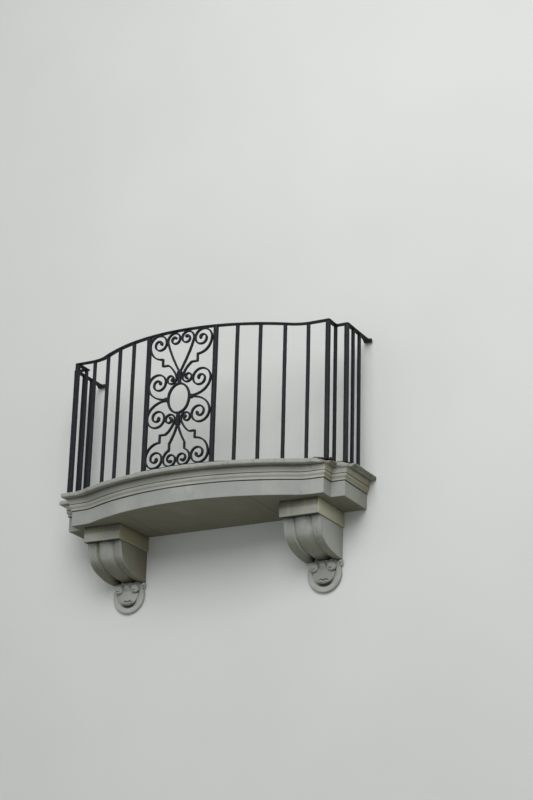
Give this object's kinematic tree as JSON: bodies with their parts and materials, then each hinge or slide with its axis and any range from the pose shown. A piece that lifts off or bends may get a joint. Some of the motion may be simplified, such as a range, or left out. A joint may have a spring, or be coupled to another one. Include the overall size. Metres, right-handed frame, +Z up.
{
  "type": "wrought iron balcony",
  "caption": "Bowed masonry balcony slab on rolled brackets with a wrought iron railing of square bars and a forged scroll panel.",
  "frame": {"origin": "middle of the wall face of the fascia course, half way along the balcony and half way up the course", "axes": "+Z up, +X along the wall to the right seen from outside, +Y into the wall, so the balcony projects towards -Y"},
  "size_m": [2.318, 0.748, 1.7938],
  "materials": {
    "painted_stone": "weathered pale grey-green limewash on rendered masonry, stained olive where water runs",
    "slab_stone": "worn pale stone with chipped rounded nose",
    "rail_iron": "old dark blue-grey paint on forged flat bar",
    "bar_iron": "old dark blue-grey paint on square wrought bar, rusty at the feet",
    "scroll_iron": "old dark blue-grey paint on forged strip"
  },
  "bodies": {
    "root": {"fascia_course": "painted_stone", "lower_band": "painted_stone", "cove_moulding": "painted_stone", "top_slab": "slab_stone", "abacus_left": "painted_stone", "abacus_right": "painted_stone", "bracket_left": "painted_stone", "bracket_right": "painted_stone", "pendant_left": "painted_stone", "pendant_right": "painted_stone", "handrail": "rail_iron", "bottom_rail": "rail_iron", "wall_end_left": "rail_iron", "wall_end_right": "rail_iron", "corner_post_left": "bar_iron", "corner_post_right": "bar_iron", "step_post_left": "bar_iron", "step_post_right": "bar_iron", "inner_bar_left": "bar_iron", "inner_bar_right": "bar_iron", "panel_post_left": "bar_iron", "panel_post_right": "bar_iron", "bow_balusters_left": "bar_iron", "bow_balusters_right": "bar_iron", "side_balusters_left": "bar_iron", "side_balusters_right": "bar_iron", "oval_ring": "scroll_iron", "heart_scroll_left": "scroll_iron", "heart_scroll_right": "scroll_iron", "upper_scroll_left": "scroll_iron", "upper_scroll_right": "scroll_iron", "mid_upper_scroll_left": "scroll_iron", "mid_upper_scroll_right": "scroll_iron", "mid_lower_scroll_left": "scroll_iron", "mid_lower_scroll_right": "scroll_iron", "lower_scroll_left": "scroll_iron", "lower_scroll_right": "scroll_iron", "foot_scroll_left": "scroll_iron", "foot_scroll_right": "scroll_iron", "centre_collars": "scroll_iron", "side_collars": "scroll_iron"}
  },
  "joints": []
}
